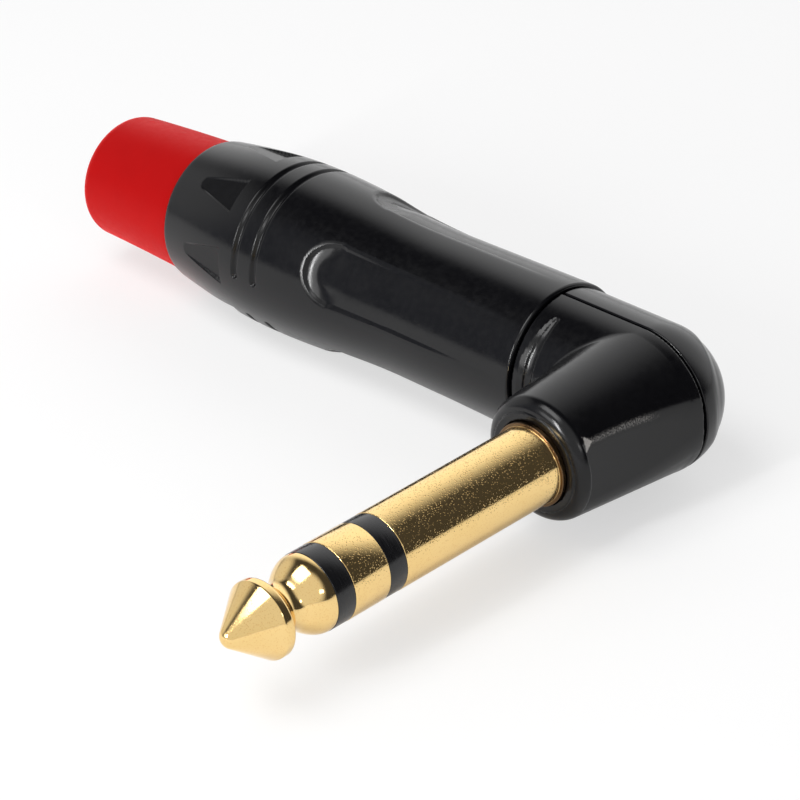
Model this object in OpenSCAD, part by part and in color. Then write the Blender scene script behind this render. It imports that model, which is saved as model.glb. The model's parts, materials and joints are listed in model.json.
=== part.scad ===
// Right-angle 6.35 mm stereo jack plug, built as it comes apart on a bench.
// The origin is the centre of the finger's shoulder. The finger points along -Y,
// the barrel and its boot point along -X, and +Z is up. Sizes are in millimetres.

/* [Finger] */
// Diameter of the finger, the size of the socket it fits
finger_d = 6.35; // [6.2:0.05:6.5]
// Length of the finger from its shoulder to its point
finger_len = 31.5; // [29:0.5:38]
// Length of the tip contact, from the point to the first black band
tip_len = 8.4; // [7.6:0.1:9.4]
// Length of each black insulating band
band_len = 1.75; // [1.2:0.05:2.4]
// Length of the ring contact
ring_len = 3.5; // [2.6:0.1:5]
// Diameter of the tip's rim
rim_d = 6.25; // [5.6:0.05:6.3]
// Diameter of the tip's neck
neck_d = 3.8; // [3.2:0.1:4.6]
// Radius of the rounded point
point_r = 0.95; // [0.5:0.05:1.2]
// How far the shoulder that meets the socket stands out past the shank
shoulder_step = 0.8; // [0.5:0.1:1.2]
// How far the shoulder stands out of the nose
shoulder_proud = 0.4; // [0.2:0.1:0.8]
// How far the threaded shank behind the shoulder lies below the finger's surface
shank_step = 0.225; // [0:0.025:0.3]

/* [Finger core] */
// Diameter of the tip's rod
rod_d = 2; // [1.6:0.1:2.2]
// Wall of the tip insulator's tube
tip_tube_wall = 0.45; // [0.3:0.05:0.5]
// Wall of the ring contact's tube
ring_tube_wall = 0.45; // [0.3:0.05:0.5]
// Wall of the ring insulator's tube
band_tube_wall = 0.45; // [0.3:0.05:0.5]
// Gap between the nested tubes
core_gap = 0.02; // [0.01:0.01:0.05]

/* [Elbow] */
// Distance from the finger's shoulder to the axis of the barrel
reach = 13.2; // [12:0.2:16]
// Distance from the finger's axis to the end of the collar
collar_len = 8.6; // [8:0.1:11]
// Wall of the elbow and its cover
elbow_wall = 1.3; // [1:0.05:1.4]
// Width of the nose's rim round the shoulder
nose_lip = 1.4; // [1:0.05:2]
// Radius of the nose's rounded rim
nose_round = 0.85; // [0.5:0.05:1]
// Thickness of the nose's wall under the nut
nose_wall = 3.4; // [2.6:0.1:4]
// Clearance of the cavity behind the nose round the nut's corners
nut_clearance = 0.08; // [0.05:0.01:0.2]
// Deepest cut of the thumb panel at the elbow's end
panel_depth = 0.8; // [0.3:0.05:0.9]
// Radius of the thumb panel's hollow
panel_curve = 90; // [60:5:200]
// Width of the collar's groove
collar_groove_w = 0.7; // [0.4:0.05:1]
// Depth of the collar's groove
collar_groove_depth = 0.3; // [0.1:0.05:0.4]
// Angle that the collar's groove covers
collar_groove_arc = 132; // [90:2:160]

/* [Cover] */
// Gap at the seam between the elbow and its cover
seam_gap = 0.1; // [0.05:0.05:0.3]
// Length of the cover's locating lip
lip_len = 1.1; // [0.6:0.1:1.6]
// Thickness of the cover's locating lip
lip_wall = 0.5; // [0.4:0.05:0.7]
// Depth of the long panel in the cover's back
cover_panel_depth = 0.25; // [0.1:0.05:0.4]
// Width of the long panel in the cover's back
cover_panel_w = 8.8; // [6:0.2:9]
// Distance from the finger's axis to the long panel's round end
cover_panel_end = 6; // [4:0.2:6.2]
// Thickness of the insulating lining inside the cover
lining_wall = 0.3; // [0.2:0.05:0.5]

/* [Screw joint] */
// Wall of the threaded spigot, from its bore to the crests
spigot_wall = 1.15; // [0.9:0.05:1.5]
// Pitch of the thread
thread_pitch = 1; // [0.5:0.25:1.5]
// Depth of the thread
thread_depth = 0.4; // [0.2:0.05:0.5]
// Length of the threaded spigot
spigot_len = 7.3; // [6:0.1:9]
// Wall of the neck ring that carries the spigot inside the elbow
neck_wall = 0.6; // [0.4:0.05:1]
// Radial running gap of the thread
thread_gap = 0.06; // [0.03:0.01:0.1]
// Gap between the collar and the barrel
joint_gap = 0.1; // [0.05:0.05:0.3]

/* [Barrel] */
// Length of the barrel
barrel_len = 40.1; // [37:0.1:52]
// Wall of the barrel round the thread
barrel_wall = 0.92; // [0.8:0.02:1.5]
// How far the barrel's belly swells past its straight stretch
belly_rise = 0.72; // [0.3:0.02:1.5]
// Wall of the barrel's tail round the boot's stem
tail_wall = 0.95; // [0.8:0.05:1.5]
// Distance from the tail to the middle of the belly
belly_back = 10.9; // [10:0.1:13]
// Length of the straight stretch beside the elbow
straight_len = 13; // [8:0.5:16]
// Number of long grips around the barrel
grip_count = 4; // [2:1:5]
// Length of a grip
grip_len = 22; // [14:0.5:24]
// Width of a grip
grip_w = 5.6; // [4:0.1:6]
// Depth of a grip at its tail end
grip_depth = 0.55; // [0.2:0.05:0.6]
// Width of each ring groove on the belly
groove_w = 0.8; // [0.4:0.05:1]
// Depth of each ring groove on the belly
groove_depth = 0.3; // [0.1:0.05:0.4]
// Distance between the two ring grooves
groove_step = 2.25; // [1.6:0.05:3]
// Angle that each ring groove covers
groove_arc = 149; // [90:1:170]
// Number of arrow notches around the tail
notch_count = 7; // [5:1:8]
// Length of an arrow notch
notch_len = 6; // [4:0.2:7]
// Width of an arrow notch at its base
notch_w = 3.4; // [2.4:0.1:4]
// Depth of an arrow notch at its base
notch_depth = 0.5; // [0.2:0.05:0.6]

/* [Cable grip] */
// Largest cable that passes through the boot and the chuck
cable_d = 7; // [5:0.1:7.2]
// Length of the boot outside the barrel
boot_len = 11.6; // [8:0.1:16]
// How far the boot lies below the barrel's tail where they meet
boot_step = 0.3; // [0.1:0.05:0.5]
// Wall of the boot at its end
boot_wall = 1.85; // [1.2:0.05:2.2]
// Radius of the boot's rounded end
boot_round = 1.2; // [0.5:0.1:1.5]
// Wall of the boot's stem inside the barrel
stem_wall = 1.6; // [1.2:0.05:2]
// Running gap round the stem and round the chuck
grip_gap = 0.1; // [0.05:0.01:0.15]
// Wall of the chuck's sleeve inside the spigot
chuck_wall = 0.75; // [0.5:0.05:1]
// Gap between the chuck's head and the barrel's lining
head_gap = 0.14; // [0.1:0.02:0.3]
// Wall of the chuck's jaws at their ends
jaw_wall = 0.7; // [0.5:0.05:1]
// Length of the chuck's tapered jaws
jaw_len = 10; // [7:0.5:11]
// Number of slots between the chuck's jaws
slot_count = 4; // [2:1:6]
// Width of a slot between the jaws
slot_w = 1.2; // [0.6:0.1:1.6]
// Width of the keys that stop the chuck turning
key_w = 1.6; // [1:0.1:2]

/* [Solder lugs] */
// Thickness of the lugs
lug_t = 0.3; // [0.2:0.05:0.4]
// Width of a lug's tail
lug_w = 1.9; // [1.4:0.1:2.4]
// Diameter of a solder eye
eye_d = 0.9; // [0.6:0.1:1.1]
// Thickness of the insulating washers
washer_t = 0.7; // [0.4:0.1:1]
// Wall of the sleeve nut at its flats
nut_wall = 0.45; // [0.4:0.05:0.8]
// Thickness of the sleeve nut
nut_t = 1.6; // [1.2:0.1:2]
// Thickness of the lock washer
lock_t = 0.4; // [0.3:0.05:0.6]

/* [Hidden] */
$fn = 96;

// A little extra for a cutter that runs past a face
over = 0.5;
// Clearance of pieces that are pressed or dropped into place by hand
press_gap = 0.05;
// Clearance between the ends of pieces along a bore
end_gap = 0.1;
// How far the black bands lie below the gold
band_step = 0.02;
// Overlap that welds two stretches of one piece
weld = 0.01;

// Radii of the finger, its shank and what sits round it
finger_r = finger_d / 2;
shank_r = finger_r - shank_step;
shoulder_r = shank_r + shoulder_step;
nose_r = shoulder_r + nose_lip;
nut_r = shank_r + nut_wall;
cavity_r = nut_r / cos(30) + nut_clearance;

// Radii of the body, from the cable outwards
cable_r = cable_d / 2;
chuck_sleeve_r = cable_r + chuck_wall;
spigot_in = chuck_sleeve_r + grip_gap;
thread_r = spigot_in + spigot_wall;
thread_bore_r = thread_r + thread_gap;
barrel_r = thread_bore_r + barrel_wall;
belly_r = barrel_r + belly_rise;
// The elbow's hollow clears the neck ring, and the ground lug's tail inside the cover's lip
ground_tail_r = nut_r + end_gap;
tail_reach = norm([ground_tail_r + lug_t, lug_w / 2]) + end_gap;
hollow_r = max(
    spigot_in + neck_wall + press_gap,
    norm([tail_reach + lip_wall + press_gap, lip_len])
);
neck_ring_r = hollow_r - press_gap;
elbow_r = hollow_r + elbow_wall;

// Finger: heights along its axis, from the shoulder towards the point
sleeve_end = finger_len - tip_len - 2 * band_len - ring_len;
ring_start = sleeve_end + band_len;
ring_end = ring_start + ring_len;
tip_start = ring_end + band_len;
// Distances from the point to the rim's two edges, the neck and the flank behind it
rim_front = 0.43 * tip_len;
rim_back = 0.48 * tip_len;
neck_back = 0.67 * tip_len;
flank_back = 0.75 * tip_len;
flank_end = 0.985 * tip_len;
// Radius of the rim's two rounded edges, radius of the neck's hollow, and the step
// from the flank's foot to the first band
rim_round = 0.3;
neck_curve = 1.2;
foot_step = 0.05;

// Finger core: radii of the nested tubes, from the rod outwards
rod_r = rod_d / 2;
tip_tube_in = rod_r + core_gap;
tip_tube_out = tip_tube_in + tip_tube_wall;
ring_tube_in = tip_tube_out + core_gap;
ring_tube_out = ring_tube_in + ring_tube_wall;
band_tube_in = ring_tube_out + core_gap;
band_tube_out = band_tube_in + band_tube_wall;
sleeve_in = band_tube_out + core_gap;

// Stack behind the nose: depths behind the shoulder
shoulder_len = 1.6;
nose_back = shoulder_proud + nose_wall;
lock_at = nose_back + lug_t;
nut_at = lock_at + lock_t;
shank_past = 0.4;
shank_len = nut_at + nut_t + shank_past;
ring_lug_at = shank_len + washer_t;
rear_washer_at = ring_lug_at + lug_t;
tip_lug_at = rear_washer_at + washer_t;
rivet_at = tip_lug_at + lug_t;
rivet_t = 0.3;
rod_end = rivet_at + rivet_t;
peen_t = 0.3;
peen_taper = 0.2;
peen_d = rod_d + 0.7;
lug_washer_r = shank_r - press_gap;
rivet_d = 3.6;
// Tails stand at these radii and end this far behind the elbow's middle
inner_tail_r = lug_washer_r + 0.15;
ground_past = 1.4;
ring_past = 1;
tip_past = 1.8;

// Elbow
nose_face = shoulder_proud;
nose_rim = nose_face + nose_round;
panel_front = nose_face + 1.15;
panel_back = reach + 0.5;
lip_ledge = 0.8;
lip_root = 0.2;
neck_ring_len = 1.6;
shield_wall = 0.3;
shield_r = cavity_r - press_gap;
shield_front = shank_len - 0.3;
shield_back = reach - lip_len - 0.3;
shield_slot = lug_w + 1.2;
collar_groove_at = collar_len - 1.6;

// Barrel: distances along the body axis from the finger's axis
barrel_front = collar_len + joint_gap;
barrel_end = barrel_front + barrel_len;
belly_at = barrel_end - belly_back;
flare_at = barrel_front + straight_len;
spigot_end = collar_len + spigot_len;
// Plain ends of the spigot, and a groove's mouth as a share of the pitch
thread_margin = 1.2;
thread_mouth = 0.8;
thread_bore_end = spigot_end + 0.4;
bore_r = thread_bore_r - 0.25;
socket_len = 3.9;
throat_len = 0.7;
tail_bore_at = barrel_end - socket_len;
throat_at = tail_bore_at - throat_len;
cone_start = throat_at - jaw_len;
jaw_r = cable_r + jaw_wall;
throat_r = jaw_r + grip_gap;
// Boot: the stem plugs into the barrel's tail and a bead holds it there
stem_r = cable_r + stem_wall;
tail_bore_r = stem_r + grip_gap;
tail_r = tail_bore_r + tail_wall;
boot_front_r = tail_r - boot_step;
boot_back_r = cable_r + boot_wall;
stem_at = tail_bore_at + 0.15;
bead_at = stem_at + 1.2;
bead_w = 1;
bead_h = 0.3;
bead_r = stem_r + bead_h - press_gap;
boot_at = barrel_end + end_gap;
boot_end = boot_at + boot_len;
// Barrel lining, chuck sleeve, keys and thrust ring
lining_t = 0.4;
lining_gap = 0.03;
lining_at = thread_bore_end + 0.2;
lining_end = cone_start - 0.4;
lining_in = bore_r - lining_gap - lining_t;
chuck_r = lining_in - head_gap;
chuck_front = collar_len + 2;
key_front = collar_len + 3;
key_slot_past = 0.3;
key_end = spigot_end - end_gap;
key_r = thread_r - thread_depth - end_gap;
head_at = lining_at + 6;
slot_back = 4;
thrust_at = throat_at - end_gap;
thrust_t = 0.5;

// Grips: one grip's middle stands at this angle from the finger's side
grip_turn = 28;
grip_end = belly_at - 6.1;
// How far a grip's floor clears the skin where the grip runs out
grip_runout = 0.03;
notch_turn = 2;
notch_tip = 0.2;
notch_at = belly_at + 3.1;
groove_turn = 72.5;

// Places its children along the finger, with local +Z towards the point
module finger_axis() {
    rotate([90, 0, 0]) children();
}

// Places its children along the body, with local +Z towards the boot and local +X up
module body_axis() {
    translate([0, reach, 0]) rotate([0, -90, 0]) children();
}

// Turns its children round the body axis, from the finger's side towards the top
module around_body(angle) {
    rotate([0, 0, angle - 90]) children();
}

// A tube about local Z between two heights
module tube(outer, inner, low, high) {
    translate([0, 0, low]) difference() {
        cylinder(r = outer, h = high - low);
        translate([0, 0, -over]) cylinder(r = inner, h = high - low + 2 * over);
    }
}

// Points of an arc about c, from angle a to angle b
function arc(c, r, a, b, n = 8) =
    [for (i = [0 : n]) c + r * [cos(a + (b - a) * i / n), sin(a + (b - a) * i / n)]];

// A rod along the body with a half-ball end at the finger's axis
module round_rod(r, long) {
    body_axis() rotate_extrude() union() {
        square([r, long]);
        intersection() {
            circle(r = r);
            translate([0, -r]) square([r, r]);
        }
    }
}

// The elbow's solid outer form: nose cone, collar and round back
module elbow_form() {
    rotate([-90, 0, 0]) rotate_extrude() polygon(concat(
        [[0, nose_face]],
        [for (p = arc([nose_r - nose_round, nose_rim], nose_round, -90, 0)) p],
        [[elbow_r, reach], [0, reach]]
    ));
    round_rod(elbow_r, collar_len);
}

// The elbow's hollow, behind the nose and along the body, up to the spigot
module elbow_hollow() {
    rotate([-90, 0, 0]) translate([0, 0, nose_back])
        cylinder(r = cavity_r, h = reach - nose_back);
    round_rod(hollow_r, collar_len - neck_ring_len);
}

// A block that holds everything on one side of the seam
module half_space(front, gap = 0) {
    side = 8 * elbow_r;
    low = front ? -side : reach + gap;
    translate([-side / 2, low, -side / 2])
        cube([side, front ? side + reach - gap : side, side]);
}

// The hollowed thumb panel at the elbow's end, from the nose to the seam
module thumb_panel() {
    span = panel_back - panel_front;
    front_x = nose_r - panel_depth;
    tilt = atan((elbow_r - front_x) / span);
    chord = span / cos(tilt);
    rise = sqrt(pow(panel_curve, 2) - pow(chord / 2, 2));
    intersection() {
        translate([front_x, panel_front, 0]) rotate([0, 0, -tilt])
            translate([rise, chord / 2, -2 * elbow_r])
                cylinder(r = panel_curve, h = 4 * elbow_r, $fn = 180);
        translate([0, panel_front, -2 * elbow_r]) cube([2 * elbow_r, 2 * span, 4 * elbow_r]);
    }
}

// Grooves between the thread crests on the spigot, one ring to each pitch
module thread_grooves() {
    turns = floor((spigot_len - thread_margin) / thread_pitch);
    half = thread_mouth * thread_pitch / 2;
    slope = half / thread_depth;
    for (i = [0.5 : turns])
        translate([0, 0, collar_len + thread_margin / 2 + i * thread_pitch])
            rotate_extrude() polygon([
                [thread_r - thread_depth, 0],
                [thread_r + over, -half - over * slope],
                [thread_r + over, half + over * slope]
            ]);
}

module elbow_shell() {
    color("#1b1b1d") difference() {
        union() {
            intersection() {
                difference() {
                    elbow_form();
                    elbow_hollow();
                }
                half_space(true);
            }
            body_axis() tube(neck_ring_r, spigot_in, collar_len - neck_ring_len, collar_len);
            body_axis() tube(thread_r, spigot_in, collar_len, spigot_end);
        }
        thumb_panel();
        // Counterbore for the shoulder and bore for the shank
        rotate([-90, 0, 0]) translate([0, 0, -over])
            cylinder(r = shoulder_r + core_gap, h = shoulder_len + over);
        rotate([-90, 0, 0]) cylinder(r = shank_r + core_gap, h = nose_back + over);
        body_axis() cylinder(r = spigot_in, h = spigot_end + over);
        body_axis() thread_grooves();
        // Slots in the spigot for the chuck's keys
        body_axis() for (side = [0, 180]) rotate([0, 0, side])
            translate([0, -key_w / 2 - grip_gap, key_front - key_slot_past])
                cube([2 * thread_r, key_w + 2 * grip_gap, spigot_len]);
        // Groove round the collar, which stops short of the seam
        body_axis() around_body(-collar_groove_arc / 2)
            translate([0, 0, collar_groove_at])
                rotate_extrude(angle = collar_groove_arc)
                    translate([elbow_r - collar_groove_depth, 0]) square([2 * over, collar_groove_w]);
    }
}

// The long round-ended panel of the cover, as a flat outline towards +Y
module cover_panel() {
    translate([cover_panel_end - cover_panel_w / 2, reach + 1, 0]) rotate([-90, 0, 0])
        linear_extrude(2 * elbow_r) union() {
            circle(d = cover_panel_w);
            translate([-3 * collar_len, -cover_panel_w / 2])
                square([3 * collar_len, cover_panel_w]);
        }
}

module elbow_cover() {
    skin = elbow_r - cover_panel_depth;
    color("#1b1b1d") union() {
        difference() {
            intersection() {
                round_rod(elbow_r, collar_len - press_gap);
                half_space(false, seam_gap);
            }
            round_rod(hollow_r, collar_len + over);
            // Shallow panel that follows the round back
            difference() {
                cover_panel();
                round_rod(skin, 2 * collar_len);
            }
        }
        cover_lip();
    }
}

// A flat band with one round end, open towards the barrel
module lip_band(outer, inner) {
    straight = collar_len - neck_ring_len - 2 * end_gap;
    difference() {
        union() {
            circle(r = outer);
            translate([-straight, -outer]) square([straight, 2 * outer]);
        }
        circle(r = inner);
        translate([-straight - over, -inner]) square([straight + over, 2 * inner]);
    }
}

// The lip that locates the cover in the elbow, and the ledge that carries it
module cover_lip() {
    lip_r = sqrt(pow(hollow_r, 2) - pow(lip_len, 2)) - press_gap;
    translate([0, reach + seam_gap + lip_ledge, 0]) rotate([90, 0, 0])
        linear_extrude(lip_ledge + seam_gap + lip_len) lip_band(lip_r, lip_r - lip_wall);
    translate([0, reach + seam_gap + lip_ledge, 0]) rotate([90, 0, 0])
        linear_extrude(lip_ledge) lip_band(hollow_r + lip_root, lip_r - lip_wall);
}

module cover_lining() {
    outer = hollow_r - lining_gap;
    color("#3a3228") difference() {
        intersection() {
            round_rod(outer, collar_len - neck_ring_len - 3 * end_gap);
            half_space(false, seam_gap + lip_ledge + end_gap);
        }
        round_rod(outer - lining_wall, collar_len + over);
    }
}

// Open-sided sleeve that keeps the lugs off the elbow's wall
module lug_shield() {
    color("#2b3a33") rotate([-90, 0, 0]) difference() {
        tube(shield_r, shield_r - shield_wall, shield_front, shield_back);
        translate([-shield_slot / 2, -2 * cavity_r, shield_front - over])
            cube([shield_slot, 2 * cavity_r, shield_back - shield_front + 2 * over]);
        translate([-2 * cavity_r, -cable_r, reach - cable_r])
            cube([2 * cavity_r, 2 * cable_r, cable_d]);
    }
}

module plug_sleeve() {
    color("#d8b25e") difference() {
        finger_axis() union() {
            cylinder(r = finger_r, h = sleeve_end);
            translate([0, 0, -shoulder_len]) cylinder(r = shoulder_r, h = shoulder_len);
            translate([0, 0, -shank_len]) cylinder(r = shank_r, h = shank_len);
        }
        finger_axis() translate([0, 0, -shank_len - over])
            cylinder(r = sleeve_in, h = shank_len + sleeve_end + 2 * over);
    }
}

module ring_insulator() {
    color("#141416") finger_axis() union() {
        tube(finger_r - band_step, band_tube_in, sleeve_end, ring_start);
        tube(band_tube_out, band_tube_in, -shank_len, sleeve_end + weld);
    }
}

module plug_ring() {
    color("#d8b25e") finger_axis() union() {
        tube(finger_r, ring_tube_in, ring_start, ring_end);
        tube(ring_tube_out, ring_tube_in, -rear_washer_at, ring_start + weld);
    }
}

module tip_insulator() {
    color("#141416") finger_axis() union() {
        tube(finger_r - band_step, tip_tube_in, ring_end, tip_start);
        tube(tip_tube_out, tip_tube_in, -rear_washer_at, ring_end + weld);
    }
}

// Half outline of the tip, from the rounded point back to the first band
function tip_outline() = let (
    top = finger_len,
    rim_x = rim_d / 2 - rim_round,
    drop = rim_front - point_r,
    // The cone is the straight line that touches both round ends
    cone_a = atan(rim_x / drop) - asin((point_r - rim_round) / norm([rim_x, drop])),
    neck_x = neck_d / 2 + neck_curve,
    flank_x = neck_x - neck_curve * cos(35),
    foot_x = finger_r - foot_step,
    flank_rise = foot_x - flank_x
) concat(
    arc([0, top - point_r], point_r, 90, cone_a, 8),
    arc([rim_x, top - rim_front], rim_round, cone_a, 0, 4),
    arc([rim_x, top - rim_back], rim_round, 0, -60, 4),
    arc([neck_x, top - neck_back], neck_curve, 130, 215, 10),
    [for (i = [1 : 6])
        [flank_x + flank_rise * sin(15 * i), top - flank_back - (flank_end - flank_back) * i / 6]],
    [[foot_x, tip_start], [0, tip_start]]
);

module plug_tip() {
    color("#d8b25e") finger_axis() {
        rotate_extrude() polygon(tip_outline());
        translate([0, 0, -rod_end]) cylinder(r = rod_r, h = rod_end + tip_start + weld);
        translate([0, 0, -rod_end - peen_t])
            cylinder(r1 = peen_d / 2 - peen_taper, r2 = peen_d / 2, h = peen_t);
    }
}

// A washer with a tail that stands away from it, pointing to the elbow's back.
// local +Z leads to the back and the tail stands at local +X.
module lug(at, hole_r, washer_r, tail_r, tail_end) {
    translate([0, 0, at]) difference() {
        union() {
            cylinder(r = washer_r, h = lug_t);
            translate([0, -lug_w / 2, 0]) cube([tail_r + lug_t, lug_w, lug_t]);
            translate([tail_r, -lug_w / 2, 0]) cube([lug_t, lug_w, tail_end - at - lug_w / 2]);
            translate([tail_r, 0, tail_end - at - lug_w / 2])
                rotate([0, 90, 0]) cylinder(r = lug_w / 2, h = lug_t);
        }
        translate([0, 0, -over]) cylinder(r = hole_r, h = lug_t + 2 * over);
        translate([tail_r - over, 0, tail_end - at - lug_w / 2])
            rotate([0, 90, 0]) cylinder(r = eye_d / 2, h = lug_t + 2 * over);
    }
}

module ground_lug() {
    color("#c9c9c4") rotate([-90, 0, 0]) rotate([0, 0, -90])
        lug(nose_back, shank_r + core_gap, nut_r, ground_tail_r, reach + ground_past);
}

module lock_washer() {
    color("#b9bcc0") rotate([-90, 0, 0])
        tube(nut_r - press_gap, shank_r + core_gap, lock_at, nut_at);
}

module sleeve_nut() {
    color("#c8a860") rotate([-90, 0, 0]) translate([0, 0, nut_at]) difference() {
        cylinder(r = nut_r / cos(30), h = nut_t, $fn = 6);
        translate([0, 0, -over]) cylinder(r = shank_r + core_gap, h = nut_t + 2 * over);
    }
}

module front_washer() {
    color("#e6e1d0") rotate([-90, 0, 0])
        tube(lug_washer_r, ring_tube_out + core_gap, shank_len, ring_lug_at);
}

module ring_lug() {
    color("#c9c9c4") rotate([-90, 0, 0]) rotate([0, 0, 90])
        lug(ring_lug_at, ring_tube_out + core_gap, lug_washer_r, inner_tail_r, reach + ring_past);
}

module rear_washer() {
    color("#e6e1d0") rotate([-90, 0, 0])
        tube(lug_washer_r, rod_r + core_gap, rear_washer_at, tip_lug_at);
}

module tip_lug() {
    color("#c9c9c4") rotate([-90, 0, 0])
        lug(tip_lug_at, rod_r + core_gap, lug_washer_r - 0.4, inner_tail_r, reach + tip_past);
}

module rivet_washer() {
    color("#b9bcc0") rotate([-90, 0, 0])
        tube(rivet_d / 2, rod_r + core_gap, rivet_at, rod_end);
}

// Radius of the barrel's skin at a distance along the body axis
function skin_r(s) =
    s < flare_at ? barrel_r :
    s < belly_at ? barrel_r + belly_rise / 2
        * (1 - cos(180 * (s - flare_at) / (belly_at - flare_at))) :
    belly_r - (belly_r - tail_r) * (1 - cos(90 * (s - belly_at) / belly_back));

// The barrel's solid outer form, with a small break on its front and back edges
module barrel_form() {
    edge = 0.25;
    steps = 24;
    long = barrel_end - edge - flare_at;
    rotate_extrude() polygon(concat(
        [[0, barrel_front], [barrel_r - edge, barrel_front], [barrel_r, barrel_front + edge]],
        [for (i = [0 : steps]) let (s = flare_at + long * i / steps) [skin_r(s), s]],
        [[tail_r - edge, barrel_end], [0, barrel_end]]
    ));
}

// Everything hollow in the barrel: thread bore, lining bore, taper and boot socket
module barrel_hollow() {
    rotate_extrude() polygon([
        [0, barrel_front - over],
        [thread_bore_r, barrel_front - over],
        [thread_bore_r, thread_bore_end],
        [bore_r, thread_bore_end],
        [bore_r, cone_start],
        [throat_r, throat_at],
        [throat_r, tail_bore_at],
        [tail_bore_r, tail_bore_at],
        [tail_bore_r, bead_at - end_gap],
        [tail_bore_r + bead_h, bead_at - end_gap],
        [tail_bore_r + bead_h, bead_at + bead_w + end_gap],
        [tail_bore_r, bead_at + bead_w + end_gap],
        [tail_bore_r, barrel_end + over],
        [0, barrel_end + over]
    ]);
}

// One long grip: a tongue outline with a round tail end, over a floor that follows
// the skin and runs out towards the elbow
module grip() {
    from = grip_end - grip_len;
    steps = 10;
    difference() {
        translate([bore_r, 0, grip_end]) rotate([0, 90, 0]) linear_extrude(2 * belly_r) union() {
            translate([grip_w / 2, 0]) circle(d = grip_w);
            translate([grip_w / 2, -grip_w / 2]) square([grip_len - grip_w / 2, grip_w]);
        }
        rotate_extrude() polygon(concat(
            [[0, from - over]],
            [for (i = [-1 : steps]) let (s = from + grip_len * i / steps)
                [skin_r(s) - grip_depth * i / steps + grip_runout, s]],
            [[skin_r(grip_end) - grip_depth + grip_runout, grip_end + over], [0, grip_end + over]]
        ));
    }
}

// One arrow notch: its point looks towards the boot
module notch() {
    floor_r = skin_r(notch_at) - notch_depth;
    translate([floor_r, 0, notch_at]) rotate([0, 90, 0])
        linear_extrude(2 * belly_r) polygon([
            [0, -notch_w / 2], [0, notch_w / 2], [-notch_len, notch_tip], [-notch_len, -notch_tip]
        ]);
}

// One ring groove, in two arcs that leave a plain bridge on each side
module ring_groove(at) {
    for (side = [0, 180]) around_body(groove_turn - groove_arc / 2 + side)
        translate([0, 0, at - groove_w / 2])
            rotate_extrude(angle = groove_arc)
                translate([skin_r(at) - groove_depth, 0]) square([2 * over, groove_w]);
}

module barrel() {
    color("#18181a") body_axis() difference() {
        barrel_form();
        barrel_hollow();
        for (i = [0 : grip_count - 1])
            around_body(grip_turn + i * 360 / grip_count) grip();
        for (i = [0 : notch_count - 1])
            around_body(notch_turn + i * 360 / notch_count) notch();
        for (side = [-0.5, 0.5]) ring_groove(belly_at + side * groove_step);
    }
}

module barrel_lining() {
    color("#dcd6c4") body_axis()
        tube(bore_r - lining_gap, lining_in, lining_at, lining_end);
}

// Collet that grips the cable: keyed sleeve, head and tapered jaws
module chuck() {
    color("#e8e6df") body_axis() difference() {
        union() {
            translate([0, 0, chuck_front])
                cylinder(r = chuck_sleeve_r, h = head_at - chuck_front + weld);
            translate([0, 0, head_at]) cylinder(r = chuck_r, h = cone_start - head_at);
            translate([0, 0, cone_start])
                cylinder(r1 = chuck_r, r2 = jaw_r, h = jaw_len - 2 * end_gap);
            for (side = [0, 180]) rotate([0, 0, side])
                translate([0, -key_w / 2, key_front])
                    cube([key_r, key_w, key_end - key_front]);
        }
        translate([0, 0, chuck_front - over]) cylinder(r = cable_r, h = throat_at);
        for (i = [0 : slot_count - 1]) rotate([0, 0, 45 + i * 360 / slot_count])
            translate([0, -slot_w / 2, head_at + slot_back])
                cube([2 * chuck_r, slot_w, throat_at - head_at]);
    }
}

// Ring that the jaws push on, so that they don't pinch the boot
module thrust_ring() {
    color("#b9bcc0") body_axis()
        tube(throat_r - press_gap, cable_r + press_gap, thrust_at, thrust_at + thrust_t);
}

module boot() {
    color("#c9252b") body_axis() difference() {
        rotate_extrude() polygon(concat(
            [
                [0, stem_at], [stem_r, stem_at],
                [stem_r, bead_at], [bead_r, bead_at],
                [bead_r, bead_at + bead_w], [stem_r, bead_at + bead_w],
                [stem_r, boot_at], [boot_front_r, boot_at]
            ],
            arc([boot_back_r - boot_round, boot_end - boot_round], boot_round, 0, 90),
            [[0, boot_end]]
        ));
        translate([0, 0, stem_at - over]) cylinder(r = cable_r, h = boot_end - stem_at + 2 * over);
    }
}

elbow_shell();
elbow_cover();
cover_lining();
lug_shield();
plug_sleeve();
ring_insulator();
plug_ring();
tip_insulator();
plug_tip();
ground_lug();
lock_washer();
sleeve_nut();
front_washer();
ring_lug();
rear_washer();
tip_lug();
rivet_washer();
barrel();
barrel_lining();
chuck();
thrust_ring();
boot();
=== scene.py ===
import json
import math

import bmesh
import bpy
import numpy as np
import openvdb as vdb
from mathutils import Matrix, Vector


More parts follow.
